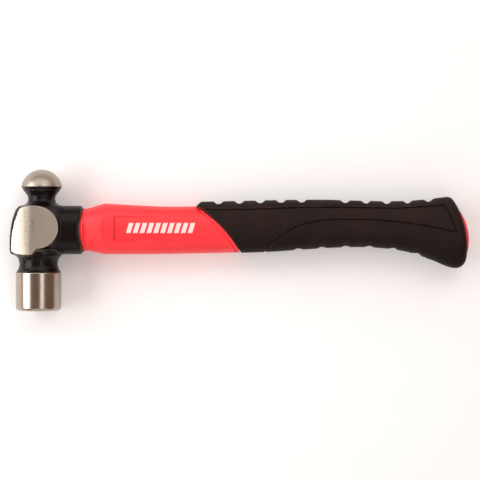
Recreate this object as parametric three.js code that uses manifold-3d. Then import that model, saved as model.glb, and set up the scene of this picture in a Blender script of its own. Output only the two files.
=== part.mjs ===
// Ball peen hammer with a glass-fibre handle, lying on its side.
// X runs from the top of the head to the butt, Y from the striking face to the peen, Z up.
// The origin is under the middle of the hammer, on the surface that it lies on. Millimetres.
import * as THREE from "three";
import { mergeVertices } from "three/addons/utils/BufferGeometryUtils.js";
import { ParametricGeometry } from "three/addons/geometries/ParametricGeometry.js";
import Module from "manifold-3d";

// ---- driving dimensions ----
const LENGTH = 311.5; // top of the head to the end of the butt
const HEAD_LENGTH = 96.2; // striking face to the crown of the peen
const FACE_RADIUS = 15.5;
const PEEN_RADIUS = 14.1; // of the ball itself
const GAP = 0.3; // clearance between neighbouring pieces

const HEAD_TOP = -LENGTH / 2;
const BUTT_END = LENGTH / 2;
const FACE_Y = -HEAD_LENGTH / 2;
const PEEN_Y = HEAD_LENGTH / 2;
const MID_Z = FACE_RADIUS; // the barrel of the poll touches the surface
const AXIS_Y = 7; // centre line of the eye, the collar and the core

// head
const POLL_X = HEAD_TOP + 19.0; // axis of the poll and its neck
const PEEN_X = HEAD_TOP + 21.1; // axis of the peen and its neck
const POLL_LENGTH = 26.2;
const FACE_CHAMFER = 2.4;
const POLL_NECK = { radius: 13.05, y: -16, fillet: 8, half: 5.4 };
const PEEN_NECK = { radius: 9.2, y: 28.4, fillet: 6.5, half: 5.3 };
const PEEN_RIM_Y = 36.3; // the ball stops here, just short of its widest
const CHEEK = { half: 14.5, edge: 1.6, top: 23.2, bottom: -9.6 };
const BOSS = { radius: 14.3, x: HEAD_TOP + 19, y: 8.6 }; // round end of the ground cheek
const COLLAR = { halfY: 16.5, halfZ: 12.7, start: HEAD_TOP + 22, end: HEAD_TOP + 50.1, chamfer: 2, scoop: 1.7 };

// eye, and what fills it
const EYE = { halfY: 11.8, halfZ: 8.5, flare: 1, waist: HEAD_TOP + 26 };
const MOUTH = { halfY: 14.3, halfZ: 11, depth: 3.4 }; // counterbore that takes the nose of the jacket
const CAP_RECESS = 0.9;
const CAP_THICKNESS = 2.1;
const DAM_THICKNESS = 2.4;
const EPOXY_OVER_CORE = 3;

// handle
const PANEL = { from: -85.8, to: -40, top: 16, bottom: -0.3, depth: 0.8 }; // recess in each side of the jacket
const CORE = { halfY: 8, halfZ: 6.5, end: BUTT_END - 20 };
const GRIP_WALL = { top: 3.2, bottom: 2.2, side: 2.5, end: 3.2 };
const BUTT_CAP = {
  radius: 14.3,
  flat: 0.7,
  dome: 34.3,
  flange: 2.2,
  stem: 7.5,
  stemLength: 9,
  tilt: 10.4,
  y: 6.4,
};
const NOTCH = { width: 6.1, floor: 3, depth: 1.35, count: 5, pitch: 14.1, starts: [-14.4, 71.6] };
const SCALLOP = { radius: 4, depth: 0.9, count: 6, pitch: 16.1, start: 39.8 };

// ---- materials ----
const paint = (color, roughness, metalness) => new THREE.MeshStandardMaterial({ color, roughness, metalness });
const STEEL = paint(0x9c9187, 0.35, 1);
const BLACK_PLASTIC = paint(0x17120f, 0.5, 0);
const EPOXY = paint(0x3a3326, 0.4, 0);
const FIBREGLASS = paint(0xd8cc9a, 0.5, 0);
const NEOPRENE = paint(0x1d1b1a, 0.9, 0);
const RED_PLASTIC = paint(0xfe4b50, 0.38, 0);
const RUBBER = paint(0x2c211e, 0.75, 0);

// ---- solids ----
const wasm = await Module();
wasm.setup();

// A closed three.js geometry as a solid that can be joined and cut.
function solid(geometry) {
  const bare = geometry.clone();
  bare.deleteAttribute("normal");
  bare.deleteAttribute("uv");
  const merged = mergeVertices(bare, 1e-4);
  const corners = merged.index.array;
  const triVerts = [];
  for (let i = 0; i < corners.length; i += 3) {
    const [a, b, c] = corners.slice(i, i + 3);
    if (a !== b && b !== c && c !== a) triVerts.push(a, b, c);
  }
  const vertProperties = merged.attributes.position.array;
  return new wasm.Manifold(
    new wasm.Mesh({ numProp: 3, vertProperties, triVerts: new Uint32Array(triVerts) }),
  );
}

// A solid as a named mesh.
function piece(name, shape, material) {
  const { vertProperties, triVerts } = shape.getMesh();
  const geometry = new THREE.BufferGeometry();
  geometry.setAttribute("position", new THREE.BufferAttribute(vertProperties, 3));
  geometry.setIndex(new THREE.BufferAttribute(triVerts, 1));
  geometry.computeVertexNormals();
  const mesh = new THREE.Mesh(geometry, material);
  mesh.name = name;
  return mesh;
}

// [radius, height] points turned about Y.
function lathe(points, segments) {
  return new THREE.LatheGeometry(points.map(([r, y]) => new THREE.Vector2(r, y)), segments);
}

// [half height, x] points turned about the handle's axis and flattened in Z to an oval.
function ovalAlongX(points, flat, segments = 32) {
  return lathe(points, segments)
    .rotateZ(-Math.PI / 2)
    .scale(1, 1, flat)
    .translate(0, AXIS_Y, MID_Z);
}

// An outline in X and Y, given thickness in Z about the middle of the hammer.
function plate(shape, half, edge, steps) {
  const flat = { bevelEnabled: edge > 0, bevelThickness: edge, bevelSize: edge, bevelOffset: -edge };
  const depth = 2 * (half - edge);
  return new THREE.ExtrudeGeometry(shape, { depth, ...flat, bevelSegments: 2, curveSegments: steps })
    .translate(0, 0, MID_Z - depth / 2);
}

// A smooth line through [x, value] points.
function line(points) {
  const last = points.length - 1;
  const slope = (i) => {
    const [before, after] = [points[Math.max(i - 1, 0)], points[Math.min(i + 1, last)]];
    return (after[1] - before[1]) / (after[0] - before[0]);
  };
  return (x) => {
    const next = points.findIndex((p) => p[0] > x);
    const i = next < 0 ? last - 1 : Math.max(next - 1, 0);
    const span = points[i + 1][0] - points[i][0];
    const t = THREE.MathUtils.clamp((x - points[i][0]) / span, 0, 1);
    const chord = (points[i + 1][1] - points[i][1]) / span;
    const bend = (1 - t) * slope(i) - t * slope(i + 1) + (2 * t - 1) * chord;
    return THREE.MathUtils.lerp(points[i][1], points[i + 1][1], t) + t * (1 - t) * span * bend;
  };
}

// Rounded oval sections from one x to another, between a top and a bottom line, with flat ends.
function loft(form, from, to, rings, inset = { top: 0, bottom: 0, side: 0 }) {
  const around = 28;
  const stacks = rings + 2;
  const section = (turn, along, target) => {
    const ring = Math.round(along * stacks) - 1;
    const x = from + ((to - from) * THREE.MathUtils.clamp(ring, 0, rings)) / rings;
    const top = form.top(x) - inset.top;
    const bottom = form.bottom(x) + inset.bottom;
    const reach = ring < 0 || ring > rings ? 0 : 1;
    const angle = -2 * Math.PI * (Math.round(turn * around) % around) / around;
    const round = (value) => reach * Math.sign(value) * Math.abs(value) ** (2 / form.power);
    const y = (top + bottom) / 2 + ((top - bottom) / 2) * round(Math.sin(angle));
    target.set(x, y, MID_Z + (form.half(x) - inset.side) * round(Math.cos(angle)));
  };
  return new ParametricGeometry(section, around, stacks);
}

// ---- hammer head ----
// Points of a concave neck, from its lower end to its upper end.
function neck({ radius, y, fillet, half }, steps = 6) {
  return Array.from({ length: steps + 1 }, (_, i) => {
    const up = half * ((2 * i) / steps - 1);
    return [radius + fillet - Math.sqrt(fillet ** 2 - up ** 2), y + up];
  });
}

function poll() {
  const shoulder = FACE_Y + POLL_LENGTH;
  const face = [
    [0, FACE_Y],
    [FACE_RADIUS - FACE_CHAMFER, FACE_Y],
    [FACE_RADIUS - 0.35 * FACE_CHAMFER, FACE_Y + 0.35 * FACE_CHAMFER],
    [FACE_RADIUS, FACE_Y + FACE_CHAMFER],
    [FACE_RADIUS, shoulder],
  ];
  const root = CHEEK.half - 0.3;
  return solid(lathe([...face, ...neck(POLL_NECK), [root, 0], [0, 0]], 40).translate(POLL_X, 0, MID_Z));
}

function peen() {
  const centre = PEEN_Y - PEEN_RADIUS;
  const start = Math.asin((PEEN_RIM_Y - centre) / PEEN_RADIUS);
  const steps = 8;
  const ball = Array.from({ length: steps + 1 }, (_, i) => {
    const angle = start + ((Math.PI / 2 - start) * i) / steps;
    return [i === steps ? 0 : PEEN_RADIUS * Math.cos(angle), centre + PEEN_RADIUS * Math.sin(angle)];
  });
  const rim = [PEEN_RADIUS * Math.cos(start) - 0.3, PEEN_RIM_Y - 1.1];
  return solid(lathe([[0, 10], [12.2, 10], ...neck(PEEN_NECK), rim, ...ball], 36).translate(PEEN_X, 0, MID_Z));
}

// The block around the eye, seen from the side: a crowned top on one side, and a round boss towards
// the handle on the other.
function cheekOutline() {
  const { top, bottom } = CHEEK;
  const shape = new THREE.Shape();
  shape.moveTo(HEAD_TOP + 16, bottom);
  shape.lineTo(HEAD_TOP + 4, bottom);
  shape.quadraticCurveTo(HEAD_TOP, bottom + 0.8, HEAD_TOP, bottom + 7);
  shape.quadraticCurveTo(HEAD_TOP + 0.2, top - 8, HEAD_TOP + 4.8, top);
  shape.lineTo(BOSS.x, top);
  shape.absarc(BOSS.x, BOSS.y, BOSS.radius, Math.PI / 2, -Math.PI / 2, true);
  shape.lineTo(HEAD_TOP + 18.5, BOSS.y - BOSS.radius);
  shape.closePath();
  return shape;
}

// Everything in front of the crowned top of the head; back moves that surface down the eye.
function aheadOfTop(back) {
  const { top, bottom } = CHEEK;
  const shape = new THREE.Shape();
  shape.moveTo(HEAD_TOP - 20, bottom);
  shape.lineTo(HEAD_TOP + 4 + back, bottom);
  shape.quadraticCurveTo(HEAD_TOP + back, bottom + 0.8, HEAD_TOP + back, bottom + 7);
  shape.quadraticCurveTo(HEAD_TOP + 0.2 + back, top - 8, HEAD_TOP + 4.8 + back, top);
  shape.lineTo(HEAD_TOP - 20, top);
  shape.closePath();
  return solid(plate(shape, 20, 0, 10));
}

// The same block seen along the head: a bevelled top, and cheeks that taper towards it.
function cheekTaper() {
  const bevel = [[0, 9.3], [0.5, 10.2], [1.5, 11.1], [2.8, 11.7]];
  const half = [...bevel, [6.5, 12.6], [10, 13.5], [13, 14.1], [15.8, 14.4], [60, 14.5]];
  const back = half.map(([x, z]) => [x, -z]).reverse();
  const outline = [...half, ...back].map(([x, z]) => new THREE.Vector2(HEAD_TOP + x, z));
  const long = 2 * (CHEEK.top - CHEEK.bottom);
  return solid(
    new THREE.ExtrudeGeometry(new THREE.Shape(outline), { depth: long, bevelEnabled: false })
      .rotateX(Math.PI / 2)
      .translate(0, AXIS_Y + long / 2, MID_Z),
  );
}

function cheeks() {
  return solid(plate(cheekOutline(), CHEEK.half, CHEEK.edge, 10)).intersect(cheekTaper());
}

// The end of the collar dips a little at the middle of each side. This is a cylinder that starts
// at that curve, or back millimetres behind it.
function behindCollar(back) {
  const { halfY, end, scoop } = COLLAR;
  const radius = (halfY ** 2 + scoop ** 2) / (2 * scoop);
  return solid(
    new THREE.CylinderGeometry(radius, radius, 60, 180)
      .rotateX(Math.PI / 2)
      .translate(end - scoop + radius + back, AXIS_Y, MID_Z),
  );
}

function collar() {
  const { halfY, halfZ, start, end, chamfer } = COLLAR;
  const outside = [[0, start], [halfY, start], [halfY, end - chamfer], [halfY - chamfer, end], [0, end]];
  return solid(ovalAlongX(outside, halfZ / halfY)).subtract(behindCollar(0));
}

// The eye narrows from the top of the head to its waist, and stays that wide down to the mouth.
// grow widens it; from and to are where it starts and stops.
function eye(grow, from, to) {
  const { halfY, halfZ, flare, waist } = EYE;
  const wide = halfY + grow + (flare * (waist - from)) / (waist - HEAD_TOP);
  const narrow = halfY + grow;
  const shape = [[0, from], [wide, from], [narrow, waist], [narrow, to], [0, to]];
  return solid(ovalAlongX(shape, (halfZ + grow) / narrow));
}

// A straight oval slug along the handle's axis.
function slug(halfY, halfZ, from, to) {
  return solid(ovalAlongX([[0, from], [halfY, from], [halfY, to], [0, to]], halfZ / halfY));
}

const MOUTH_FLOOR = COLLAR.end - MOUTH.depth;
const DAM_FLOOR = MOUTH_FLOOR - DAM_THICKNESS - GAP;
const CAP_INNER = CAP_RECESS + CAP_THICKNESS;
const CORE_START = HEAD_TOP + CAP_INNER + GAP + EPOXY_OVER_CORE + GAP;

const coreBore = slug(CORE.halfY + GAP, CORE.halfZ + GAP, CORE_START - GAP, CORE.end + GAP);

const head = poll()
  .add(peen())
  .add(cheeks())
  .add(collar())
  .subtract(eye(0, HEAD_TOP - 1, COLLAR.end + 1))
  .subtract(slug(MOUTH.halfY, MOUTH.halfZ, MOUTH_FLOOR, COLLAR.end + 1));

// The cap and the epoxy follow the crowned top of the head.
const eyeCap = eye(-GAP, HEAD_TOP, HEAD_TOP + 12)
  .subtract(aheadOfTop(CAP_RECESS))
  .intersect(aheadOfTop(CAP_INNER));
const eyeEpoxy = eye(-GAP, HEAD_TOP, DAM_FLOOR)
  .subtract(aheadOfTop(CAP_INNER + GAP))
  .subtract(coreBore);
const epoxyDam = slug(EYE.halfY - GAP, EYE.halfZ - GAP, DAM_FLOOR + GAP, MOUTH_FLOOR).subtract(coreBore);

// ---- handle ----
const JACKET = {
  power: 2.25,
  top: line([
    [-110, 20.9], [-104, 21.2], [-95, 24.3], [-90, 24.9], [-60, 23.3], [-44, 22.9], [-28, 23.2], [10, 24],
  ]),
  bottom: line([[-110, -6.9], [-104, -6.8], [-95, -8.7], [-90, -9.3], [-58, -9.3], [-25, -8.8], [10, -8]]),
  half: line([[-110, 10.6], [-104, 10.7], [-95, 12.9], [-90, 13.3], [-60, 13], [-28, 13.2], [10, 13.6]]),
};
const GRIP = {
  power: 2.5,
  top: line([
    [-34, 26.1], [-10, 26.6], [28, 27.4], [57, 27.6], [80, 27], [104, 26.6], [124, 27.6], [140, 29.5], [160, 31.5],
  ]),
  bottom: line([
    [-34, -8.9], [15, -8.1], [54, -5.6], [72, -4.8], [88, -4.8], [105, -6.3],
    [118, -9], [131, -13.6], [142, -18.1], [149, -19.2], [160, -19.4],
  ]),
  half: line([[-34, 13.7], [-10, 14.2], [40, 14.6], [80, 14.3], [115, 14.6], [128, 15.2], [140, 15.5], [160, 15.2]]),
};

// The slanted edge where the rubber of the grip starts, seen from the side; back moves it to the front.
// The piece returned is everything behind that edge.
function behindGripEdge(back) {
  const shape = new THREE.Shape();
  shape.moveTo(-24 - back, 28.5);
  shape.lineTo(-29.2 - back, 23.3);
  shape.quadraticCurveTo(-10.5 - back, 11.3, 0.6 - back, -7.8);
  shape.lineTo(3 - back, -14);
  shape.lineTo(200, -60);
  shape.lineTo(200, 60);
  shape.closePath();
  return solid(plate(shape, 30, 0, 10));
}

// Everything in front of the rounded end of the butt; back moves that end to the front.
function beforeButt(back) {
  const end = BUTT_END - back;
  const shape = new THREE.Shape();
  shape.moveTo(end - 300, 60);
  shape.lineTo(end - 40, 60);
  shape.lineTo(end - 18, 31);
  shape.quadraticCurveTo(end - 13.4, 29.8, end - 11.4, 26.8);
  shape.bezierCurveTo(end - 5, 18.5, end - 1.4, 7, end - 1.4, -3.5);
  shape.bezierCurveTo(end - 1.6, -10, end - 2.6, -19.2, end - 9, -19.2);
  shape.lineTo(end - 40, -60);
  shape.lineTo(end - 300, -60);
  shape.closePath();
  return solid(plate(shape, GRIP.half(150) + 0.2, 4, 12));
}

// The domed cap that plugs the butt, with a stem into the jacket.
function buttCap(grow) {
  const { radius, flat, dome, flange, stem, stemLength, tilt } = BUTT_CAP;
  const lean = THREE.MathUtils.degToRad(tilt);
  const edge = radius + grow;
  const drop = dome - Math.sqrt(dome ** 2 - radius ** 2);
  const steps = 5;
  const crown = Array.from({ length: steps + 1 }, (_, i) => {
    const r = edge * (1 - i / steps);
    return [r, grow + Math.sqrt(dome ** 2 - Math.min(r, radius) ** 2) - dome];
  });
  const foot = -drop - flange - grow;
  const plug = [[0, foot - stemLength], [stem + grow, foot - stemLength], [stem + grow, foot], [edge, foot]];
  return solid(
    lathe([...plug, ...crown], 32)
      .rotateZ(-Math.PI / 2)
      .scale(1, 1, flat)
      .rotateZ(lean)
      .translate(BUTT_END - dome * (1 - Math.cos(lean)), BUTT_CAP.y, MID_Z),
  );
}

// Trapezoid notches across the top edge of the grip.
function topNotch(x) {
  const { width, floor, depth } = NOTCH;
  const y = GRIP.top(x);
  const shape = new THREE.Shape();
  shape.moveTo(x - floor / 2, y - depth);
  shape.lineTo(x + floor / 2, y - depth);
  shape.lineTo(x + width / 2, y);
  shape.lineTo(x + width / 2 + 1, y + 2);
  shape.lineTo(x - width / 2 - 1, y + 2);
  shape.lineTo(x - width / 2, y);
  shape.closePath();
  return solid(plate(shape, 20, 0, 2));
}

// Shallow round scallops across the bottom edge of the grip, for the fingers.
function bottomScallop(x) {
  const { radius, depth } = SCALLOP;
  return solid(
    new THREE.CylinderGeometry(radius, radius, 40, 18)
      .rotateX(Math.PI / 2)
      .translate(x, GRIP.bottom(x) + depth - radius, MID_Z),
  );
}

const tailInset = { top: GRIP_WALL.top, bottom: GRIP_WALL.bottom, side: GRIP_WALL.side };
const boreInset = { top: tailInset.top - GAP, bottom: tailInset.bottom - GAP, side: tailInset.side - GAP };

// A shallow recess in both sides of the jacket, which fades out towards the grip.
function panels() {
  const { from, to, top, bottom, depth } = PANEL;
  const shape = new THREE.Shape();
  shape.moveTo(from, bottom);
  shape.lineTo(to, bottom);
  shape.lineTo(to, top - 1.2);
  shape.lineTo(from, top);
  shape.closePath();
  const floor = {
    ...JACKET,
    half: line([[from - 4, JACKET.half(from) - depth], [from, JACKET.half(from) - depth], [to, JACKET.half(to)]]),
  };
  return solid(plate(shape, 20, 0, 2)).subtract(solid(loft(floor, from - 2, to + 2, 12)));
}

const jacketNose = slug(MOUTH.halfY - 0.4, MOUTH.halfZ - 0.4, MOUTH_FLOOR + GAP, COLLAR.end + 2);
const jacket = solid(loft(JACKET, COLLAR.end - COLLAR.scoop, 8, 21))
  .intersect(behindCollar(0.6))
  .subtract(panels())
  .subtract(behindGripEdge(GAP))
  .add(jacketNose)
  .add(solid(loft(GRIP, -34, 158, 18, tailInset)).intersect(beforeButt(GRIP_WALL.end + GAP)))
  .subtract(coreBore)
  .subtract(buttCap(GAP));

let grip = solid(loft(GRIP, -34, 158, 32))
  .intersect(behindGripEdge(0))
  .intersect(beforeButt(0))
  .subtract(solid(loft(GRIP, -34, 158, 18, boreInset)).intersect(beforeButt(GRIP_WALL.end)))
  .subtract(buttCap(GAP));
for (const start of NOTCH.starts) {
  for (let i = 0; i < NOTCH.count; i += 1) grip = grip.subtract(topNotch(start + i * NOTCH.pitch));
}
for (let i = 0; i < SCALLOP.count; i += 1) {
  grip = grip.subtract(bottomScallop(SCALLOP.start + i * SCALLOP.pitch));
}

const hammer = new THREE.Group();
hammer.add(
  piece("hammer_head", head, STEEL),
  piece("eye_cap", eyeCap, BLACK_PLASTIC),
  piece("eye_epoxy", eyeEpoxy, EPOXY),
  piece("epoxy_dam", epoxyDam, NEOPRENE),
  piece("fiberglass_core", slug(CORE.halfY, CORE.halfZ, CORE_START, CORE.end), FIBREGLASS),
  piece("handle_jacket", jacket, RED_PLASTIC),
  piece("rubber_grip", grip, RUBBER),
  piece("butt_cap", buttCap(0), RED_PLASTIC),
);

export default hammer;
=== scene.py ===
import math

import bpy
import numpy as np
from mathutils import Matrix, Vector


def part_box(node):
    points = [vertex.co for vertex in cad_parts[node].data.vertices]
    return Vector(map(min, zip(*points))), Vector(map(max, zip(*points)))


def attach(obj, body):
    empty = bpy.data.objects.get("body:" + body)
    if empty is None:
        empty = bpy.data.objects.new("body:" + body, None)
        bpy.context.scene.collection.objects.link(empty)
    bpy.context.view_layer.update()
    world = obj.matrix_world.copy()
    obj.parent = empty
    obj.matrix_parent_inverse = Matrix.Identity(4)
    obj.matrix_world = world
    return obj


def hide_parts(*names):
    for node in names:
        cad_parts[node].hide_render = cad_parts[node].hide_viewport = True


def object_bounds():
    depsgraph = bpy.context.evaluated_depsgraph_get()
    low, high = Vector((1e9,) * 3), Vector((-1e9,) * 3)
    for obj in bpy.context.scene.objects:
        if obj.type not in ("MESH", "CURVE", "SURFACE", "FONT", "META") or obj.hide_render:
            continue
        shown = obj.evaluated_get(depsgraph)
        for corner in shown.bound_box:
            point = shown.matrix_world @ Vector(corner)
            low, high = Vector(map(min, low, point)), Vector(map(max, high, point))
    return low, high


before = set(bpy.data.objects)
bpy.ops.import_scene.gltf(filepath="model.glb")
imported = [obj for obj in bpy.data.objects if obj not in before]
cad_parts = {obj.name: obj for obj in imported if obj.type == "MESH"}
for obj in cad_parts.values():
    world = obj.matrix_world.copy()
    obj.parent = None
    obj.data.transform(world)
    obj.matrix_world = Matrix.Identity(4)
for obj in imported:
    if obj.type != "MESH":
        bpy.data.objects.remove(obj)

# Ball peen hammer, lying on its side. Every visible piece is an implicit surface, written in millimetres
# as a function of x, y, z that is negative inside, and turned into a mesh by dual contouring. In all the
# fields w is the height above the hammer's middle plane, and a is how far a point is from that plane.
MM = 0.001
SLACK = 0.01  # keeps the rounded ends just inside the CAD's box
cad_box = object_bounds()


# ---- measures, from the frame ----
def box_mm(node):
    low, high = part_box(node)
    return np.array(low) / MM, np.array(high) / MM


head_low, head_high = box_mm("hammer_head")
core_low, core_high = box_mm("fiberglass_core")
jacket_low = box_mm("handle_jacket")[0]

HEAD_TOP = head_low[0]
FACE_Y, PEEN_Y = head_low[1], head_high[1] - SLACK
BUTT_END = box_mm("butt_cap")[1][0] - SLACK
MID_Z = (head_low[2] + head_high[2]) / 2
AXIS_Y = (core_low[1] + core_high[1]) / 2
FACE_RADIUS = (head_high[2] - head_low[2]) / 2 - SLACK
GAP = 0.3  # clearance between the pieces

# head
POLL_X = HEAD_TOP + 19.0
PEEN_X = HEAD_TOP + 21.1
BALL_RADIUS = 14.1
BALL_Y = PEEN_Y - BALL_RADIUS
RIM_Y = BALL_Y + 2.3
SHOULDER_Y = FACE_Y + 26.2
POLL_NECK = {"radius": 13.05, "middle": -16.0, "fillet": 8.0, "half": 5.2}
POLL_NECK_TOP = -7.0
PEEN_NECK = {"radius": 9.2, "middle": 28.4, "fillet": 6.5, "half": 5.3}
BOSS_X, BOSS_Y, BOSS_RADIUS = HEAD_TOP + 19.0, 8.6, 14.3
CHEEK_HALF = 14.5
CHEEK_TOP, CHEEK_BOTTOM = 23.2, -9.6
CROWN_RADIUS, CROWN_X, CROWN_Y = 100, HEAD_TOP + 100.45, -1.5
BEVEL_FROM = 9.6  # half thickness where the bevel around the top of the head starts
RIDGE_X = HEAD_TOP + 15.8  # where the two ground slopes of a cheek meet
COLLAR_HALF_Y, COLLAR_HALF_Z = 16.5, 12.5
COLLAR_END = HEAD_TOP + 50.1
COLLAR_SCOOP = 1.7  # how far the end of the collar dips at the middle of its side
COLLAR_CHAMFER = 2.1
MOUTH_HALF_Y, MOUTH_HALF_Z, MOUTH_DEPTH = 14.3, 11.0, 3.4
EYE_HALF_Y, EYE_HALF_Z, EYE_FLARE, EYE_WAIST = 11.8, 8.5, 1.0, 26.0
EYE_CAP_RECESS = box_mm("eye_cap")[0][0] - HEAD_TOP
EYE_CAP_THICKNESS = 2.1


# ---- fields ----
def smax(a, b, soft):
    """The larger of two fields, with the corner between them rounded over a width of soft."""
    near = np.maximum(soft - np.abs(a - b), 0) / soft
    return np.maximum(a, b) + near * near * soft / 4


def smin(a, b, soft):
    """The smaller of two fields, rounded the same way."""
    return -smax(-a, -b, soft)


def step(low, high, value):
    """0 below low, 1 above high, smooth between."""
    t = np.clip((value - low) / (high - low), 0, 1)
    return t * t * (3 - 2 * t)


def line(points):
    """A smooth line through (x, value) points."""
    xs, vs = np.array(points, float).T
    slopes = np.empty(len(xs))
    slopes[1:-1] = (vs[2:] - vs[:-2]) / (xs[2:] - xs[:-2])
    slopes[0] = (vs[1] - vs[0]) / (xs[1] - xs[0])
    slopes[-1] = (vs[-1] - vs[-2]) / (xs[-1] - xs[-2])

    def at(x):
        i = np.clip(np.searchsorted(xs, x, side="right") - 1, 0, len(xs) - 2)
        span = xs[i + 1] - xs[i]
        t = np.clip((x - xs[i]) / span, 0, 1)
        rise = vs[i + 1] - vs[i]
        bend = (1 - t) * slopes[i] - t * slopes[i + 1] + (2 * t - 1) * rise / span
        return vs[i] + t * rise + t * (1 - t) * span * bend

    return at


def oval(y, w, middle, half_y, half_z, power=2.0):
    """Distance to a rounded oval section."""
    u = np.abs(y - middle) / half_y
    v = np.abs(w) / half_z
    reach = np.maximum((u**power + v**power) ** (1 / power), 1e-6)
    lean = np.hypot((u / reach) ** (power - 1) / half_y, (v / reach) ** (power - 1) / half_z)
    return (reach - 1) / np.maximum(lean, 1e-6)


def form(x, y, w, lines, inset=(0, 0, 0)):
    """Distance to the oval body between a top and a bottom line.

    The inset is what to take off the top, the bottom and the sides.
    """
    top = lines["top"](x) - inset[0]
    bottom = lines["bottom"](x) + inset[1]
    return oval(y, w, (top + bottom) / 2, (top - bottom) / 2, lines["half"](x) - inset[2], lines["power"])


def arc_neck(r, y, radius, middle, fillet, half):
    """Distance to a neck turned about Y whose side is a concave arc."""
    up = np.clip(y - middle, -half, half)
    rest = np.sqrt(fillet**2 - up**2)
    return (r - (radius + fillet - rest)) * rest / fillet


def path_distance(x, y, path):
    """Distance in X and Y to a path of straight stretches."""
    nearest = np.inf
    for (ax, ay), (bx, by) in zip(path[:-1], path[1:]):
        dx, dy = bx - ax, by - ay
        t = np.clip(((x - ax) * dx + (y - ay) * dy) / (dx * dx + dy * dy), 0, 1)
        nearest = np.minimum(nearest, np.hypot(x - ax - t * dx, y - ay - t * dy))
    return nearest


# ---- dual contouring ----
TETRA = np.array([(1, 1, 1), (1, -1, -1), (-1, 1, -1), (-1, -1, 1)], float)
PULL_TO_MIDDLE = 0.04
CREASE = math.radians(14)  # spread of the normals in a cell past which it is a crease
MARGIN = 1.1  # grid around a piece's box, in mm


def gradient(field, points, reach=0.03):
    """The direction in which the field grows fastest, of length 1."""
    total = np.zeros_like(points)
    for corner in TETRA:
        total += corner * field(*(points + corner * reach).T)[:, None]
    return total / np.maximum(np.linalg.norm(total, axis=1), 1e-9)[:, None]


def sample(field, axes, slab=48):
    """The field on a grid, in slabs so that the memory stays small."""
    values = np.empty([len(a) for a in axes], np.float32)
    for i in range(0, len(axes[0]), slab):
        x = axes[0][i : i + slab, None, None]
        values[i : i + slab] = field(x, axes[1][None, :, None], axes[2][None, None, :])
    return values


def crossings(field, axes, values, cell, axis):
    """Where the surface crosses the grid's edges along one axis: index, point, and which way it faces."""
    low = np.moveaxis(values, axis, 0)
    changes = np.moveaxis((low[:-1] < 0) != (low[1:] < 0), 0, axis)
    index = np.argwhere(changes)
    start = np.stack([axes[k][index[:, k]] for k in range(3)], axis=1)
    after = index.copy()
    after[:, axis] += 1
    fa = values[tuple(index.T)].astype(float)
    fb = values[tuple(after.T)].astype(float)
    inward = fa > 0
    a, b = np.zeros(len(index)), np.ones(len(index))
    point = start
    for _ in range(3):
        t = a + (b - a) * fa / (fa - fb)
        point = start.copy()
        point[:, axis] += t * cell[axis]
        ft = field(*point.T)
        same = (ft > 0) == (fa > 0)
        a, fa = np.where(same, t, a), np.where(same, ft, fa)
        b, fb = np.where(same, b, t), np.where(same, fb, ft)
        fa = np.where(fa == fb, fa + 1e-9, fa)
    return index, point, inward


def best_points(where, points, normals):
    """The point of each cell that fits its crossings' planes best, and whether the cell is smooth."""
    def total(weights):
        return np.bincount(where, weights)

    number = np.bincount(where)
    middle = np.stack([total(points[:, k]) / number for k in range(3)], axis=1)
    offset = np.einsum("ij,ij->i", normals, points - middle[where])
    matrix = np.empty((len(number), 3, 3))
    for i in range(3):
        for j in range(3):
            matrix[:, i, j] = total(normals[:, i] * normals[:, j])
    matrix += PULL_TO_MIDDLE * np.eye(3)
    right = np.stack([total(normals[:, k] * offset) for k in range(3)], axis=1)
    mean = np.stack([total(normals[:, k]) / number for k in range(3)], axis=1)
    smooth = np.linalg.norm(mean, axis=1) > math.cos(CREASE)
    return middle + np.linalg.solve(matrix, right[:, :, None])[:, :, 0], smooth


def contour(field, low, high, cell):
    """Vertices and four-sided faces of field == 0 between two corners."""
    cell = np.array(cell, float)
    count = np.ceil((np.array(high) - np.array(low)) / cell).astype(int)
    axes = [low[k] + cell[k] * np.arange(count[k] + 1) for k in range(3)]
    values = sample(field, axes)
    ids, points, normals, faces = [], [], [], []
    for axis in range(3):
        index, point, inward = crossings(field, axes, values, cell, axis)
        one, two = (axis + 1) % 3, (axis + 2) % 3
        ring = []
        for back_one, back_two in ((1, 1), (0, 1), (0, 0), (1, 0)):
            around = index.copy()
            around[:, one] -= back_one
            around[:, two] -= back_two
            ring.append(np.ravel_multi_index(tuple(around.T), count))
        ring = np.stack(ring, axis=1)
        normal = gradient(field, point)
        ids.append(ring.ravel())
        points.append(np.repeat(point, 4, axis=0))
        normals.append(np.repeat(normal, 4, axis=0))
        faces.append(np.where(inward[:, None], ring[:, ::-1], ring))
    ids, points, normals = map(np.concatenate, (ids, points, normals))
    cells, where = np.unique(ids, return_inverse=True)
    faces = np.searchsorted(cells, np.concatenate(faces))
    vertices, smooth = best_points(where, points, normals)
    corner = np.stack(np.unravel_index(cells, count), axis=1) * cell + np.array([a[0] for a in axes])
    vertices = np.clip(vertices, corner - 0.02 * cell, corner + 1.02 * cell)
    return vertices, faces, smooth


def corner_normals(field, vertices, faces, smooth):
    """A normal for each face corner: the field's own where it is smooth, one side's at a crease."""
    at_vertex = gradient(field, vertices)
    normals = at_vertex[faces]
    centres = vertices[faces].mean(axis=1)
    face, corner = np.nonzero(~smooth[faces])
    vertex = faces[face, corner]
    inside_face = vertices[vertex] + 0.5 * (centres[face] - vertices[vertex])
    normals[face, corner] = gradient(field, inside_face)
    return normals.reshape(-1, 3)


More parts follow.
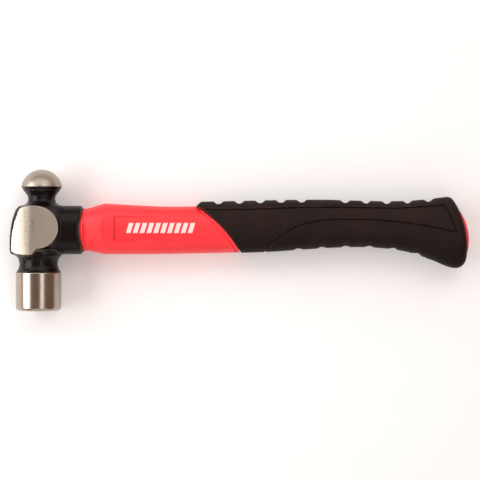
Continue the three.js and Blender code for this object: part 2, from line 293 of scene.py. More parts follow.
def piece(name, field, low, high, cell, material, marks):
    """A mesh object of a field, which rides on the root body.

    The marks are a function that gives per-vertex values for the material.
    """
    vertices, faces, smooth = contour(field, low - MARGIN, high + MARGIN, cell)
    mesh = bpy.data.meshes.new(name)
    mesh.vertices.add(len(vertices))
    mesh.vertices.foreach_set("co", (vertices * MM).astype(np.float32).ravel())
    mesh.loops.add(faces.size)
    mesh.loops.foreach_set("vertex_index", faces.astype(np.int32).ravel())
    mesh.polygons.add(len(faces))
    mesh.polygons.foreach_set("loop_start", np.arange(0, faces.size, 4, dtype=np.int32))
    mesh.polygons.foreach_set("use_smooth", np.ones(len(faces), bool))
    mesh.update(calc_edges=True)
    mesh.validate()
    mesh.normals_split_custom_set(corner_normals(field, vertices, faces, smooth).tolist())
    for label, value in marks(*vertices.T).items():
        attribute = mesh.attributes.new(label, "FLOAT", "POINT")
        attribute.data.foreach_set("value", np.broadcast_to(value, len(vertices)).astype(np.float32))
    mesh.materials.append(material)
    made = bpy.data.objects.new(name, mesh)
    bpy.context.scene.collection.objects.link(made)
    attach(made, "root")
    return made


# ---- hammer head ----
def cheek_height(x):
    """Half thickness over the ground cheeks: two gentle slopes that meet in a soft ridge."""
    across = x - RIDGE_X
    soft = 2.5
    away = np.sqrt(across**2 + soft**2) - soft
    left = 0.23 * away + 0.006 * away**2
    right = 0.012 * away + 0.0008 * away**2
    return CHEEK_HALF - np.where(across < 0, left, right)


def crowned_top(x, y):
    """The top of the head seen from the side: a shallow crown that slopes off towards the peen."""
    crown = np.hypot(x - CROWN_X, y - CROWN_Y) - CROWN_RADIUS
    slope = -0.91 * (x - HEAD_TOP - 1.9) + 0.415 * (y - 16.2)
    return crown, slope


def cheek_outline(x, y, a):
    """The sides of the block around the eye, which widen away from the ground cheeks."""
    below = np.clip(CHEEK_HALF - a, 0, 8)
    band = np.abs(y - (CHEEK_TOP + CHEEK_BOTTOM) / 2) - (CHEEK_TOP - CHEEK_BOTTOM) / 2
    crown, slope = crowned_top(x, y)
    bevel = 0.635 * crown + 0.773 * (a - BEVEL_FROM + 0.015 * (y - 7))
    top = smax(smax(band, smax(crown, bevel, 1.2), 3.2), slope, 4)
    foot = 0.865 * (x - HEAD_TOP - 16) - 0.503 * (y - CHEEK_BOTTOM)
    block = smax(top, smax(foot, x - BOSS_X, 1), 0.8)
    widen = 0.55 * below * step(BOSS_X - 8, BOSS_X + 3, x)
    boss = np.hypot(x - BOSS_X, y - BOSS_Y) - BOSS_RADIUS - widen
    boss = smax(boss, HEAD_TOP + 6 - x, 1)
    return smin(block - 0.04 * below, boss, 1.2)


def collar_end(y):
    return COLLAR_END - COLLAR_SCOOP * np.clip(1 - ((y - AXIS_Y) / COLLAR_HALF_Y) ** 2, 0, 1)


def eye_hole(x, y, w):
    widen = EYE_FLARE * np.clip(1 - (x - HEAD_TOP) / EYE_WAIST, 0, 1.1)
    return oval(y, w, AXIS_Y, EYE_HALF_Y + widen, EYE_HALF_Z + widen * EYE_HALF_Z / EYE_HALF_Y)


def head_parts(x, y, w):
    """The fields of the poll, the peen, the block around the eye and the collar."""
    a = np.abs(w)
    r = np.hypot(x - POLL_X, w)
    crowned_face = FACE_Y + 0.35 * (r / FACE_RADIUS) ** 4 - y
    barrel = smax(smax(r - FACE_RADIUS, crowned_face, 3.0), y - SHOULDER_Y, 0.7)
    neck = smax(arc_neck(r, y, **POLL_NECK), SHOULDER_Y - 1 - y, 0.3)
    neck = smax(neck, 0.35 * (r - CHEEK_HALF + 1.2) + 0.94 * (y - POLL_NECK_TOP), 1.6)
    neck = smax(neck, a - CHEEK_HALF + 0.4, 0.5)
    poll = np.minimum(barrel, neck)

    r = np.hypot(x - PEEN_X, w)
    sphere = np.hypot(r, y - BALL_Y) - BALL_RADIUS
    under = 0.789 * (r - 13.95) - 0.615 * (y - RIM_Y)
    stem = smax(arc_neck(r, y, **PEEN_NECK), np.abs(y - 22) - 12, 0.5)
    peen = smin(smax(sphere, under, 0.5), stem, 1.0)

    block = smax(cheek_outline(x, y, a), a - cheek_height(x), 0.25)
    tube = oval(y, w, AXIS_Y, COLLAR_HALF_Y, COLLAR_HALF_Z, 2.2)
    end = x - collar_end(y)
    collar = smax(smax(tube, end, 0.3), (tube + end + COLLAR_CHAMFER) / math.sqrt(2), 0.6)
    collar = smax(collar, BOSS_X - 3 - x, 0.5)
    return poll, peen, block, collar


def forged(x, y, z):
    """Shallow unevenness of a forged surface, in mm."""
    broad = np.sin(1.7 * x + 0.9 * y) * np.sin(1.3 * y - 1.1 * z + 0.6 * x)
    fine = np.sin(2.9 * y + 1.3 * z) * np.sin(2.3 * x - 1.9 * z)
    return 0.05 * broad + 0.035 * fine


def bare_steel(x, y, z):
    """Positive on the ground and polished faces, negative under the enamel, in mm from the edge."""
    a = np.abs(z - MID_Z)
    plane = a - cheek_height(x)
    cheek = np.minimum(plane - cheek_outline(x, y, a), 0.8 - np.abs(plane) * 3)
    face = np.minimum(SHOULDER_Y - y, 1.5)
    ball = np.minimum(y - RIM_Y, 1.5)
    return np.maximum(np.maximum(face, ball), np.minimum(cheek, 1.5))


def head_field(x, y, z):
    w = z - MID_Z
    poll, peen, block, collar = head_parts(x, y, w)
    body = smin(block, collar, 1.6)
    body = smin(body, poll, 2.2)
    grinding = np.abs(w) - cheek_height(x) - 10 * np.clip(CHEEK_BOTTOM - 0.2 - y, 0, 10)
    body = smax(body, grinding, 0.25)
    body = smin(body, peen, 2.6)
    mouth = smax(oval(y, w, AXIS_Y, MOUTH_HALF_Y, MOUTH_HALF_Z), COLLAR_END - MOUTH_DEPTH - x, 0.3)
    hollow = np.minimum(eye_hole(x, y, w), mouth)
    painted = np.clip(-bare_steel(x, y, z), 0, 1)
    return smax(body + painted * forged(x, y, z), -hollow, 0.5)


# ---- handle ----
JACKET_BODY = {
    "power": 2.25,
    "top": line([(-110, 25.4), (-91, 24.95), (-60, 23.3), (-44, 22.9), (-28, 23.2), (10, 24)]),
    "bottom": line([(-110, -9.4), (-91, -9.4), (-58, -9.35), (-25, -8.8), (10, -8)]),
    "half": line([(-110, 13.4), (-91, 13.3), (-60, 13), (-28, 13.2), (10, 13.6)]),
}
JACKET_CONE = {
    "power": 2.1,
    "top": line([(-110, 19.7), (-80, 28.5)]),
    "bottom": line([(-110, -5.4), (-80, -12.1)]),
    "half": line([(-110, 9.3), (-80, 16.6)]),
}
GRIP = {
    "power": 2.5,
    "top": line([
        (-34, 26.1), (-10, 26.6), (28, 27.4), (57, 27.6), (80, 27),
        (104, 26.6), (124, 27.6), (140, 29.5), (160, 31.5),
    ]),
    "bottom": line([
        (-34, -8.9), (15, -8.1), (54, -5.6), (72, -4.8), (88, -4.8), (105, -6.3),
        (118, -9), (131, -13.6), (142, -18.1), (149, -19.2), (160, -19.4),
    ]),
    "half": line([
        (-34, 13.7), (-10, 14.2), (40, 14.6), (80, 14.3), (115, 14.6), (128, 15.15), (140, 15.4), (160, 15.2),
    ]),
}
GRIP_WALL = (3.2, 2.2, 2.5)
GRIP_END_WALL = 3.2
TAIL_FRONT = -34.0  # where the hidden stretch of the jacket starts

# The end of the grip is an arc seen from the side, and falls away a little towards the sides.
REAR_X, REAR_Y, REAR_RADIUS = BUTT_END - 54.15, -3.2, 53.0
REAR_DOME = 0.011

# The slanted front edge of the grip, and the line of the jacket's groove in front of it.
EDGE_FROM, EDGE_BEND, EDGE_TO = (-29.2, 23.3), (-10.5, 11.3), (0.6, -7.8)
LIP_BEFORE_EDGE, LIP_WIDTH, LIP_DEPTH = 2.1, 0.65, 0.55


def edge_points(count=13, out=6.0):
    """The slanted front edge of the grip, carried on past both ends."""
    t = np.linspace(0, 1, count)[:, None]
    a, b, c = map(np.array, (EDGE_FROM, EDGE_BEND, EDGE_TO))
    curve = (1 - t) ** 2 * a + 2 * t * (1 - t) * b + t**2 * c
    start = curve[0] + out * np.array([0.70, 0.71])
    end = curve[-1] + out * (curve[-1] - curve[-2]) / np.linalg.norm(curve[-1] - curve[-2])
    return np.vstack([start, curve, end])


EDGE = edge_points()
EDGE_ORDER = np.argsort(EDGE[1:, 1])


def before_edge(x, y):
    """Positive in front of the grip's slanted edge, negative behind it."""
    edge_x, edge_y = EDGE_FROM
    ramp = edge_x + (y - edge_y)
    slant = np.interp(y, EDGE[1:][EDGE_ORDER, 1], EDGE[1:][EDGE_ORDER, 0])
    slope = np.interp(y, [-8, 23], [0.8, 0.72])
    return (np.where(y > edge_y, ramp, slant) - x) * slope


def rear_arc(x, y, w):
    """Distance to the domed end of the grip, negative in front of it."""
    return np.hypot(np.maximum(x - REAR_X, 0), y - REAR_Y) - REAR_RADIUS + REAR_DOME * w**2


def tail(x, y, w, grow):
    """The stretch of the jacket that is hidden in the grip."""
    inset = [wall - grow for wall in GRIP_WALL]
    body = form(x, y, w, GRIP, inset)
    rear = rear_arc(x, y, w) + GRIP_END_WALL + GAP - grow
    return smax(smax(body, rear, 2.0), TAIL_FRONT - x, 0.3)


BUTT_CAP_TILT, BUTT_CAP_Y = math.radians(10.4), 6.4
BUTT_CAP_HALF_Y, BUTT_CAP_HALF_Z, BUTT_CAP_THICKNESS = 14.3, 10.0, 5.6
BUTT_CAP_DOME = 34.3
BUTT_STEM_RADIUS, BUTT_STEM_FLAT, BUTT_STEM_FROM, BUTT_STEM_TO = 7.5, 0.7, 5.1, 14.9


def butt_socket(x, y, w, grow):
    """The butt cap's own shape: a domed oval plate with a stem, grown by the clearance."""
    lean, upright = math.sin(BUTT_CAP_TILT), math.cos(BUTT_CAP_TILT)
    top_x = BUTT_END - BUTT_CAP_DOME * (1 - upright)
    along = (x - top_x) * upright + (y - BUTT_CAP_Y) * lean
    across = -(x - top_x) * lean + (y - BUTT_CAP_Y) * upright
    rim = oval(across, w, 0, BUTT_CAP_HALF_Y + grow, BUTT_CAP_HALF_Z + grow)
    dome = np.hypot(along + BUTT_CAP_DOME, np.hypot(across, w * 1.05)) - BUTT_CAP_DOME
    plate = smax(smax(rim, dome - grow, 0.9), -along - BUTT_CAP_THICKNESS - grow, 0.3)
    round_stem = (np.hypot(across, w / BUTT_STEM_FLAT) - BUTT_STEM_RADIUS) * 0.8 - grow
    middle, half = (BUTT_STEM_TO + BUTT_STEM_FROM) / 2, (BUTT_STEM_TO - BUTT_STEM_FROM) / 2
    stem = smax(round_stem, np.abs(along + middle) - half - grow, 0.5)
    return np.minimum(plate, stem)


PANEL_LEFT, PANEL_FADE = -85.7, -40.0
PANEL_DEPTH = 1.15


def panel(x, y):
    """Depth of the shallow recess in the side of the jacket, which fades out towards the grip."""
    top = 16.2 - 0.026 * (x - PANEL_LEFT)
    inside = step(-0.5, 0.5, np.minimum(top - y, y + 0.3))
    start = step(0, 2.2, x - PANEL_LEFT)
    fade = 1 - step(0, 1, (x - PANEL_LEFT) / (PANEL_FADE - PANEL_LEFT)) * 0.98
    return PANEL_DEPTH * inside * start * fade * (x < PANEL_FADE)


def core_bore(x, y, w):
    """The hole that the glass-fibre core sits in."""
    half_y, half_z = (core_high[1:] - core_low[1:]) / 2 + GAP
    bore = oval(y, w, AXIS_Y, half_y, half_z)
    return smax(bore, x - core_high[0] - GAP, 0.3)


def jacket_field(x, y, z):
    """The red jacket: its bare front, a nose in the collar's mouth with a bead, and the hidden tail."""
    w = z - MID_Z
    front = smax(form(x, y, w, JACKET_BODY), form(x, y, w, JACKET_CONE), 0.25)
    front = front + panel(x, y)
    edge = before_edge(x, y)
    lip = (edge - LIP_BEFORE_EDGE) / LIP_WIDTH
    front = front + LIP_DEPTH * np.clip(1 - lip**2, 0, 1)
    front = smax(smax(front, GAP - edge, 0.4), collar_end(y) + GAP - x, 0.3)
    throat = oval(y, w, AXIS_Y, MOUTH_HALF_Y - 0.4, MOUTH_HALF_Z - 0.4)
    nose = smax(smax(throat, jacket_low[0] - x, 0.5), x - COLLAR_END - 2, 0.5)
    bead = np.hypot(throat - 0.1, x - collar_end(y) - 0.75) - 0.75
    whole = smin(smin(front, nose, 0.6), bead, 0.4)
    whole = np.minimum(whole, tail(x, y, w, 0.0))
    whole = smax(whole, -core_bore(x, y, w), 0.2)
    return smax(whole, -butt_socket(x, y, w, GAP), 0.2)


# Thin grooves moulded in each side of the grip, as paths of straight stretches.
TOP_GROOVE = [
    (-25.7, 20.8), (7.9, 20.8), (21.8, 21.4), (41.6, 22.1), (71.3, 22.2),
    (89.1, 21.9), (105.9, 21.6), (118.8, 22.3), (128.2, 23), (137.2, 23.9),
]
REAR_GROOVE = [(137.2, 23.9), (140.2, 20.3), (142.7, 15.2), (144.4, 10.2), (145.8, 5.5)]
BELLY_GROOVE = [
    (17, -9.4), (17.5, -7), (21.1, -2.5), (28.4, 3.3), (36.9, 8.5), (45.5, 11.6),
    (54.2, 13.2), (62.8, 14), (71.4, 14.1), (84.6, 14), (97.5, 13.3), (106.1, 12.5),
    (114.7, 11.4), (123.4, 10.1), (134.8, 7.9), (144.2, 5.8),
]
NOTCHES = [start + 14.1 * i for start in (-14.4, 71.6) for i in range(5)]  # along the top of the grip
SCALLOPS = [39.8 + 16.1 * i for i in range(6)]  # along its belly, each under a round pad
NOTCH_DEPTH, NOTCH_HALF = 1.9, 1.3
SCALLOP_RADIUS, SCALLOP_BELOW = 3.6, 2.6
PAD_RADIUS, PAD_ABOVE, PAD_DEPTH = 3.2, 0.6, 0.4
GROOVE_WIDTH, GROOVE_DEPTH = 0.62, 0.75


def grooves(x, y):
    """Distance to the middle of the nearest groove."""
    paths = (TOP_GROOVE, REAR_GROOVE, BELLY_GROOVE)
    return np.minimum.reduce([path_distance(x, y, path) for path in paths])


def pads(x, y):
    """Distance to the edge of the nearest round pad along the belly, negative on the pad."""
    centres = [(middle, GRIP["bottom"](middle) + PAD_ABOVE) for middle in SCALLOPS]
    return np.minimum.reduce([np.hypot(x - cx, y - cy) for cx, cy in centres]) - PAD_RADIUS


def grip_outside(x, y, w):
    """The grip without its grooves and its hollow inside."""
    body = form(x, y, w, GRIP)
    body = smax(body, rear_arc(x, y, w), 2.5 + 4.5 * step(0, -15, y))
    body = smax(body, before_edge(x, y), 0.7)
    for middle in NOTCHES:
        floor = GRIP["top"](middle) - NOTCH_DEPTH - y
        wall = 0.66 * (np.abs(x - middle) - NOTCH_HALF) + 0.75 * floor
        body = smax(body, -smax(floor, wall, 0.3), 0.35)
    body = body + PAD_DEPTH * np.clip(-pads(x, y) / 0.5, 0, 1)
    for middle in SCALLOPS:
        scoop = np.hypot(x - middle, y - GRIP["bottom"](middle) + SCALLOP_BELOW) - SCALLOP_RADIUS
        body = smax(body, -scoop, 0.5)
    return body


def grip_surface(x, y, z):
    body = grip_outside(x, y, z - MID_Z)
    return body + GROOVE_DEPTH * np.clip(1 - (grooves(x, y) / GROOVE_WIDTH) ** 2, 0, 1)


def grip_field(x, y, z):
    w = z - MID_Z
    body = grip_surface(x, y, z)
    body = smax(body, -tail(x, y, w, GAP), 0.2)
    return smax(body, -butt_socket(x, y, w, GAP), 0.5)


def butt_field(x, y, z):
    return butt_socket(x, y, z - MID_Z, 0.0)


def eye_cap_field(x, y, z):
    """A plastic plug: a dished disc with a raised rim, which follows the top of the head."""
    plug = eye_hole(x, y, z - MID_Z) + GAP
    front = smax(*crowned_top(x - EYE_CAP_RECESS, y), 4)
    back = smax(*crowned_top(x - EYE_CAP_RECESS - EYE_CAP_THICKNESS, y), 4)
    front = front + 0.55 * step(1.4, 2.2, -plug) - 0.25 * step(7.6, 8.3, -plug)
    return smax(smax(plug, front, 0.3), -back, 0.2)


# ---- marks for the materials ----
WEAR_AND_SHADE_REACH = 0.8


def wear_and_shade_marks(field):
    """A function for per-vertex values: how convex and how hollow the surface is there, 0 on a flat. The
    materials use the edge value for wear, and on the grip also for painted highlight, and the hollow value
    for painted shade.
    """
    def at(x, y, z):
        points = np.stack([x, y, z], axis=1)
        out = gradient(field, points) * WEAR_AND_SHADE_REACH
        inside = field(*(points - out).T) / WEAR_AND_SHADE_REACH
        outside = field(*(points + out).T) / WEAR_AND_SHADE_REACH
        return {"edge": np.clip(1 + inside, 0, 1), "hollow": np.clip(1 - outside, 0, 1)}

    return at


def head_marks(x, y, z):
    return {**wear_and_shade_marks(head_field)(x, y, z), "bare": bare_steel(x, y, z)}


def grip_marks(x, y, z):
    marks = wear_and_shade_marks(grip_surface)(x, y, z)
    # Painted shade: a dark line along the rim of each round pad, carried in the hollow mark.
    rim = np.clip(1 - np.abs(pads(x, y)) / 0.6, 0, 1)
    return {**marks, "hollow": np.maximum(marks["hollow"], 0.36 * rim)}


# ---- materials ----
class Shader:
    """A node material built by short calls; lengths in it are millimetres."""

    def __init__(self, name):
        self.material = bpy.data.materials.new(name)
        self.material.use_nodes = True
        self.tree = self.material.node_tree
        self.surface = self.tree.nodes["Principled BSDF"]
        where = self.node("TexCoord").outputs["Object"]
        scale = (1 / MM, 1 / MM, 1 / MM)
        self.place = self.node("VectorMath", {0: where, 1: scale}, operation="MULTIPLY").outputs[0]

    def node(self, kind, inputs=None, **settings):
        made = self.tree.nodes.new("ShaderNode" + kind)
        for key, value in settings.items():
            setattr(made, key, value)
        for key, value in (inputs or {}).items():
            self.feed(made.inputs[key], value)
        return made

    def feed(self, socket, value):
        if isinstance(value, bpy.types.NodeSocket):
            self.tree.links.new(value, socket)
        else:
            socket.default_value = value

    def noise(self, scale, detail=3.0, rough=0.55, stretch=None):
        place = self.place
        if stretch:
            place = self.node("VectorMath", {0: self.place, 1: stretch}, operation="MULTIPLY").outputs[0]
        settings = {"Vector": place, "Scale": scale, "Detail": detail, "Roughness": rough}
        return self.node("TexNoise", settings).outputs["Fac"]

    def math(self, operation, a, b=0.0):
        return self.node("Math", {0: a, 1: b}, operation=operation).outputs[0]

    def band(self, value, middle, half, soft=0.05):
        """1 where value is within half of the middle, 0 outside, with a soft edge."""
        away = self.math("ABSOLUTE", self.math("SUBTRACT", value, middle))
        return self.ramp(away, half + soft, half - soft)

    def repeat(self, value, pitch, fill, soft=0.04):
        """1 on the middle of every pitch, over a share of it."""
        return self.band(self.math("FRACT", self.math("DIVIDE", value, pitch)), 0.5, fill / 2, soft)

    def ramp(self, value, low, high, to_low=0.0, to_high=1.0):
        inputs = {"Value": value, "From Min": low, "From Max": high, "To Min": to_low, "To Max": to_high}
        return self.node("MapRange", inputs, clamp=True).outputs["Result"]

    def mix(self, share, a, b):
        made = self.node("Mix", data_type="RGBA")
        self.feed(made.inputs["Factor"], share)
        self.feed(made.inputs[6], a)
        self.feed(made.inputs[7], b)
        return made.outputs[2]

    def mark(self, label):
        return self.node("Attribute", attribute_name=label).outputs["Fac"]

    def bump(self, height, distance, under=None):
        inputs = {"Height": height, "Distance": distance * MM, "Strength": 1.0}
        if under is not None:
            inputs["Normal"] = under
        return self.node("Bump", inputs).outputs["Normal"]

    def finish(self, **inputs):
        for key, value in inputs.items():
            self.feed(self.surface.inputs[key.replace("_", " ")], value)
        return self.material


def rgb(red, green, blue):
    """A colour given as it looks on a screen, 0 to 255, in linear light."""
    def linear(value):
        value /= 255
        return value / 12.92 if value <= 0.04045 else ((value + 0.055) / 1.055) ** 2.4
    return (linear(red), linear(green), linear(blue), 1.0)


def steel_and_enamel():
    """Bare ground steel on the face, the ball and the cheeks, and pebbly black enamel on the rest."""
    s = Shader("head_steel_and_enamel")
    ragged = s.math("MULTIPLY", s.math("SUBTRACT", s.noise(0.9, 4), 0.5), 0.55)
    bare = s.ramp(s.math("ADD", s.mark("bare"), ragged), -0.06, 0.06)

    x, y, z = s.node("SeparateXYZ", {0: s.place}).outputs
    on_cheek = s.ramp(s.math("ABSOLUTE", s.math("SUBTRACT", y, 7.0)), 19.0, 17.0)
    turned = s.noise(1.0, 5, 0.7, stretch=(0.10, 3.2, 0.10))
    ground = s.noise(1.0, 5, 0.7, stretch=(2.6, 0.12, 2.6))
    lines = s.node("Mix", {"Factor": on_cheek, 2: turned, 3: ground}, data_type="FLOAT").outputs[0]
    cloudy = s.noise(0.16, 4)
    steel = s.mix(s.ramp(cloudy, 0.35, 0.7), rgb(176, 166, 155), rgb(164, 152, 139))
    steel = s.mix(s.ramp(lines, 0.35, 0.75, 0.0, 0.35), steel, rgb(150, 138, 124))
    stain = s.ramp(s.noise(0.45, 6, 0.7), 0.62, 0.8, 0.0, 0.5)
    steel = s.mix(stain, steel, rgb(118, 98, 80))
    steel = s.mix(s.ramp(s.mark("edge"), 0.15, 0.5, 0.0, 0.2), steel, rgb(214, 206, 196))
    steel = s.mix(s.math("MULTIPLY", on_cheek, 0.6), steel, rgb(206, 198, 186))
    stamp = cheek_stamp(s, x, y, z)
    steel = s.mix(s.math("MULTIPLY", stamp, 0.6), steel, rgb(92, 82, 72))

    worn = s.ramp(s.math("ADD", s.mark("edge"), s.math("MULTIPLY", s.noise(1.3, 4), 0.25)), 0.36, 0.62)
    enamel = s.mix(s.ramp(s.noise(0.3, 3), 0.3, 0.7), rgb(8, 4, 5), rgb(17, 12, 11))
    enamel = s.mix(s.math("MULTIPLY", worn, 0.5), enamel, rgb(104, 96, 88))

    colour = s.mix(bare, enamel, steel)
    on_ball = s.ramp(y, 33.0, 35.0)
    finish = s.math("ADD", s.math("MULTIPLY", on_cheek, 0.15), s.math("MULTIPLY", on_ball, 0.16))
    steel_rough = s.math("ADD", s.ramp(lines, 0.25, 0.75, 0.18, 0.28), finish)
    steel_rough = s.math("ADD", steel_rough, s.math("MULTIPLY", stain, 0.25))
    enamel_rough = s.ramp(s.noise(0.8, 3), 0.3, 0.7, 0.2, 0.32)
    rough = s.node("Mix", {"Factor": bare, 2: enamel_rough, 3: steel_rough}, data_type="FLOAT").outputs[0]

    pebbles = s.math("ADD", s.noise(1.05, 2, 0.5), s.math("MULTIPLY", s.noise(0.38, 2), 0.9))
    enamel_height = s.math("MULTIPLY", pebbles, s.math("SUBTRACT", 1.0, bare))
    paint_edge = s.math("MULTIPLY", s.math("SUBTRACT", 1.0, bare), 0.25)
    height = s.math("ADD", enamel_height, paint_edge)
    height = s.math("SUBTRACT", height, s.math("MULTIPLY", stamp, 0.5))
    normal = s.bump(height, 0.08)
    depth = s.math("MULTIPLY", bare, s.math("ADD", s.math("MULTIPLY", on_cheek, 0.8), 0.2))
    normal = s.bump(s.math("MULTIPLY", lines, depth), 0.05, normal)
    return s.finish(Base_Color=colour, Metallic=bare, Roughness=rough, Normal=normal, Specular_IOR_Level=0.2)


def cheek_stamp(s, x, y, z):
    """Plain stamped marks on the upper cheek: a column of fine ticks, and a row of ticks and dots."""
    column_x, column_y = HEAD_TOP + 11.8, 8.6
    column = s.math("MULTIPLY", s.band(x, column_x, 1.15), s.band(y, column_y, 11.8))
    column = s.math("MULTIPLY", column, s.repeat(y, 1.1, 0.45))
    column = s.math("MULTIPLY", column, s.ramp(s.noise(1.4, 2), 0.42, 0.55, 0.15, 1.0))

    row_x, row_y, pitch = HEAD_TOP + 16.6, 9.6, 4.0
    ticks = s.math("MULTIPLY", s.band(x, row_x, 1.45), s.band(y, row_y, 1.5 * pitch))
    ticks = s.math("MULTIPLY", ticks, s.repeat(s.math("SUBTRACT", y, row_y - 1.5 * pitch), pitch, 0.14))
    part = s.math("FRACT", s.math("DIVIDE", s.math("SUBTRACT", y, row_y - pitch), pitch))
    up = s.math("MULTIPLY", s.math("SUBTRACT", part, 0.5), pitch)
    along = s.math("SUBTRACT", x, row_x)
    away = s.math("SQRT", s.math("ADD", s.math("POWER", along, 2.0), s.math("POWER", up, 2.0)))
    dots = s.math("MULTIPLY", s.ramp(away, 0.62, 0.48), s.band(y, row_y, pitch))

    marks = s.math("MAXIMUM", s.math("MAXIMUM", column, ticks), dots)
    return s.math("MULTIPLY", marks, s.math("GREATER_THAN", z, MID_Z))


def red_plastic(name, with_bars):
    """Semi-gloss red plastic with scuffs and painted shade in its hollows, glossier at the lip by the collar.
    """
    s = Shader(name)
    cloudy = s.noise(0.05, 3)
    red = s.mix(s.ramp(cloudy, 0.35, 0.65), rgb(250, 48, 56), rgb(244, 40, 48))
    red = s.mix(s.ramp(s.noise(0.6, 6, 0.75), 0.66, 0.8, 0.0, 0.25), red, rgb(214, 30, 38))
    x = s.node("SeparateXYZ", {0: s.place}).outputs[0]
    lip = s.ramp(x, COLLAR_END + 1.2, COLLAR_END - 0.2)
    # Painted shade: creases and recesses, such as the panel's left wall, are painted a darker red, but not at
    # the lip by the collar.
    hollow = s.ramp(s.mark("hollow"), 0.12, 0.7, 0.0, 0.85)
    hollow = s.math("MULTIPLY", hollow, s.ramp(x, COLLAR_END + 3, COLLAR_END + 5))
    red = s.mix(hollow, red, rgb(226, 14, 32))
    red = s.mix(s.ramp(s.mark("edge"), 0.2, 0.6, 0.0, 0.35), red, rgb(255, 92, 92))
    scuff = s.ramp(s.noise(1.0, 5, 0.7, stretch=(0.09, 0.8, 0.8)), 0.66, 0.74, 0.0, 0.22)
    red = s.mix(scuff, red, rgb(255, 120, 116))
    rough = s.ramp(s.noise(0.7, 4), 0.3, 0.7, 0.36, 0.5)
    rough = s.math("SUBTRACT", rough, s.math("MULTIPLY", lip, 0.24))
    height = s.math("ADD", s.noise(2.4, 3, 0.6), s.math("MULTIPLY", s.noise(0.2, 2), 1.5))
    if with_bars:
        bars = printed_bars(s)
        red = s.mix(bars, red, rgb(240, 214, 212))
        height = s.math("ADD", height, s.math("MULTIPLY", bars, 1.2))
    normal = s.bump(height, 0.035)
    return s.finish(Base_Color=red, Roughness=rough, Normal=normal, Specular_IOR_Level=0.5)


def printed_bars(s):
    """A row of plain slanted white bars, printed in the recess on the upper side of the jacket."""
    x, y, z = s.node("SeparateXYZ", {0: s.place}).outputs
    left, right, low, high = -77.4, -31.2, 4.9, 11.7
    pitch, fill, slant = 4.62, 0.66, 0.3
    leaning = s.math("SUBTRACT", x, s.math("MULTIPLY", s.math("SUBTRACT", y, low), slant))
    bar = s.repeat(s.math("SUBTRACT", leaning, left), pitch, fill, 0.012)
    along = s.band(leaning, (left + right) / 2, (right - left) / 2, 0.02)
    tall = s.band(y, (low + high) / 2, (high - low) / 2)
    upper = s.math("GREATER_THAN", z, MID_Z)
    worn = s.ramp(s.noise(1.6, 5, 0.7), 0.68, 0.72, 1.0, 0.55)
    ink = s.math("MULTIPLY", s.math("MULTIPLY", bar, along), s.math("MULTIPLY", tall, upper))
    return s.math("MULTIPLY", ink, worn)


def grip_rubber():
    """Matt black rubber with scuffs and pale specks. Shade is painted in, darker towards the belly and in the
    hollows, and the lighter edges are partly wear and partly painted highlight.
    """
    s = Shader("black_grip_rubber")
    cloudy = s.noise(0.06, 4)
    black = s.mix(s.ramp(cloudy, 0.35, 0.65), rgb(31, 20, 17), rgb(39, 27, 23))
    y = s.node("SeparateXYZ", {0: s.place}).outputs[1]
    # Painted shade: the lower side, towards the belly, is painted darker, as if the light came from the top.
    black = s.mix(s.ramp(y, 14, -12, 0.0, 0.9), black, rgb(20, 11, 9))
    # Painted shade: grooves, notches and creases are painted darker.
    black = s.mix(s.ramp(s.mark("hollow"), 0.1, 0.5, 0.0, 0.9), black, rgb(14, 6, 6))
    # Edges are painted lighter tan, partly as wear and partly as painted highlight, the glints on the notch
    # edges.
    black = s.mix(s.ramp(s.mark("edge"), 0.2, 0.6, 0.0, 0.3), black, rgb(104, 82, 64))
    scuff = s.ramp(s.noise(1.0, 5, 0.7, stretch=(0.1, 0.6, 0.6)), 0.68, 0.76, 0.0, 0.3)
    black = s.mix(scuff, black, rgb(92, 84, 78))
    specks = s.ramp(s.noise(1.9, 2, 0.5), 0.74, 0.78, 0.0, 0.4)
    black = s.mix(specks, black, rgb(110, 104, 98))
    rough = s.ramp(s.noise(0.5, 4), 0.3, 0.7, 0.55, 0.72)
    height = s.math("ADD", s.noise(3.2, 3, 0.6), s.math("MULTIPLY", s.noise(0.9, 2), 0.8))
    normal = s.bump(height, 0.05)
    return s.finish(Base_Color=black, Roughness=rough, Normal=normal, Specular_IOR_Level=0.12)


def plain_material(name, one, two, rough, scale=0.3, stretch=None, depth=0.04):
    """A two-tone material with grain, for the small and the hidden pieces."""
    s = Shader(name)
    grain = s.noise(scale, 5, 0.65, stretch=stretch)
    colour = s.mix(s.ramp(grain, 0.35, 0.65), rgb(*one), rgb(*two))
    roughness = s.ramp(s.noise(scale * 3, 3), 0.3, 0.7, rough - 0.07, rough + 0.07)
    return s.finish(Base_Color=colour, Roughness=roughness, Normal=s.bump(grain, depth))


# ---- pieces ----
def build(node, field, cell, material, marks=None):
    """The skin that takes the place of one CAD node; cell is the size of the grid it is made on."""
    low, high = box_mm(node)
    made = piece(node + "_skin", field, low, high, cell, material, marks or wear_and_shade_marks(field))
    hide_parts(node)
    return made


build("hammer_head", head_field, (0.5, 0.5, 0.5), steel_and_enamel(), head_marks)
jacket_red = red_plastic("red_jacket_plastic", with_bars=True)
build("handle_jacket", jacket_field, (0.9, 0.65, 0.65), jacket_red)
build("rubber_grip", grip_field, (0.85, 0.55, 0.6), grip_rubber(), grip_marks)
cap_red = red_plastic("red_cap_plastic", with_bars=False)
build("butt_cap", butt_field, (0.35, 0.35, 0.35), cap_red)
cap_black = plain_material("eye_cap_plastic", (24, 20, 18), (36, 31, 28), 0.45)
build("eye_cap", eye_cap_field, (0.25, 0.35, 0.35), cap_black)

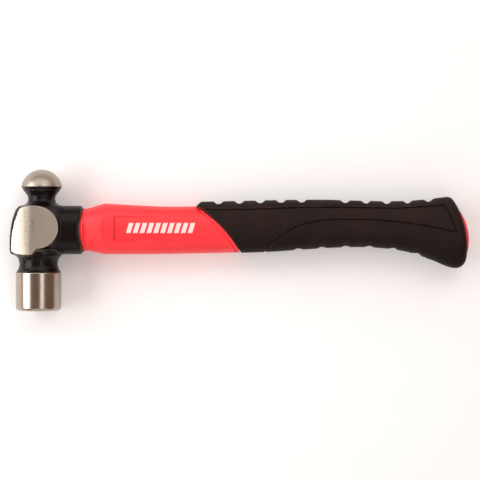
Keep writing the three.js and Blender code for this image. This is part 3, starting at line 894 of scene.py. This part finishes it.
# Pieces that nothing shows of: they stay as the CAD has them, with materials of their own.
HIDDEN = {
    "eye_epoxy": plain_material("cast_epoxy", (66, 56, 40), (84, 72, 52), 0.25, scale=0.5),
    "epoxy_dam": plain_material("dam_neoprene", (30, 28, 27), (42, 40, 38), 0.8, scale=1.2, depth=0.08),
    "fiberglass_core": plain_material(
        "pultruded_glass_fibre", (216, 204, 158), (186, 170, 118), 0.4, scale=1.0, stretch=(0.05, 2.2, 2.2)
    ),
}
for node, material in HIDDEN.items():
    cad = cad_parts[node]
    cad.data.materials.clear()
    cad.data.materials.append(material)


# ---- stage ----
def strip_light(name, where, look_at, size, energy, across=False):
    """A long softbox; its long side runs along Y, or along X if it lies across."""
    data = bpy.data.lights.new(name, "AREA")
    data.shape = "RECTANGLE"
    data.size, data.size_y = size
    data.energy = energy
    made = bpy.data.objects.new(name, data)
    made.location = where
    back = (where - look_at).normalized()
    long_side = Vector((1, 0, 0)) if across else Vector((0, 1, 0))
    short_side = long_side.cross(back).normalized()
    turn = Matrix((short_side, back.cross(short_side), back)).transposed()
    made.rotation_mode = "QUATERNION"
    made.rotation_quaternion = turn.to_quaternion()
    bpy.context.scene.collection.objects.link(made)


def floor():
    """A plain pale floor, just under the hammer."""
    half = 4.0
    corners = [(-half, -half, 0), (half, -half, 0), (half, half, 0), (-half, half, 0)]
    mesh = bpy.data.meshes.new("floor")
    mesh.from_pydata(corners, [], [(0, 1, 2, 3)])
    made = bpy.data.objects.new("floor", mesh)
    made.location.z = cad_box[0].z - 0.0002
    bpy.context.scene.collection.objects.link(made)
    s = Shader("pale_floor")
    mottle = s.noise(0.01, 3)
    colour = s.mix(mottle, (0.80, 0.80, 0.80, 1), (0.84, 0.84, 0.84, 1))
    s.finish(Base_Color=colour, Roughness=0.9, Emission_Color=(1, 1, 1, 1), Emission_Strength=0.15)
    mesh.materials.append(s.material)


def studio():
    """A dim warm room with four softboxes: two for the head's highlights, and two for the long sides."""
    world = bpy.data.worlds.new("studio")
    world.use_nodes = True
    world.node_tree.nodes["Background"].inputs["Color"].default_value = (0.50, 0.34, 0.27, 1)
    world.node_tree.nodes["Background"].inputs["Strength"].default_value = 0.55
    bpy.context.scene.world = world
    middle = (cad_box[0] + cad_box[1]) / 2
    head = Vector((POLL_X * MM, 0, MID_Z * MM))
    strip_light("strip_left", head + Vector((-0.85, 0.05, 0.53)), head, (0.64, 1.4), 13.0)
    strip_light("strip_right", head + Vector((0.36, 0.05, 0.84)), head, (0.26, 1.4), 2.4)
    strip_light("far_side", middle + Vector((0.1, 0.9, 0.8)), middle, (1.0, 2.2), 8.5, across=True)
    strip_light("near_side", middle + Vector((0.1, -1.0, 0.6)), middle, (0.8, 1.6), 3.0, across=True)


def camera():
    """Straight down on the side of the hammer, from far enough to flatten the view as a telephoto does."""
    data = bpy.data.cameras.new("camera")
    distance, width = 1.3, 0.3264
    data.angle = 2 * math.atan(width / 2 / distance)
    made = bpy.data.objects.new("camera", data)
    middle = (cad_box[0] + cad_box[1]) / 2
    made.location = (middle.x + 0.0002, middle.y + 0.0002, MID_Z * MM + distance)
    bpy.context.scene.collection.objects.link(made)
    bpy.context.scene.camera = made


floor()
studio()
camera()
bpy.context.scene.view_settings.view_transform = "Standard"
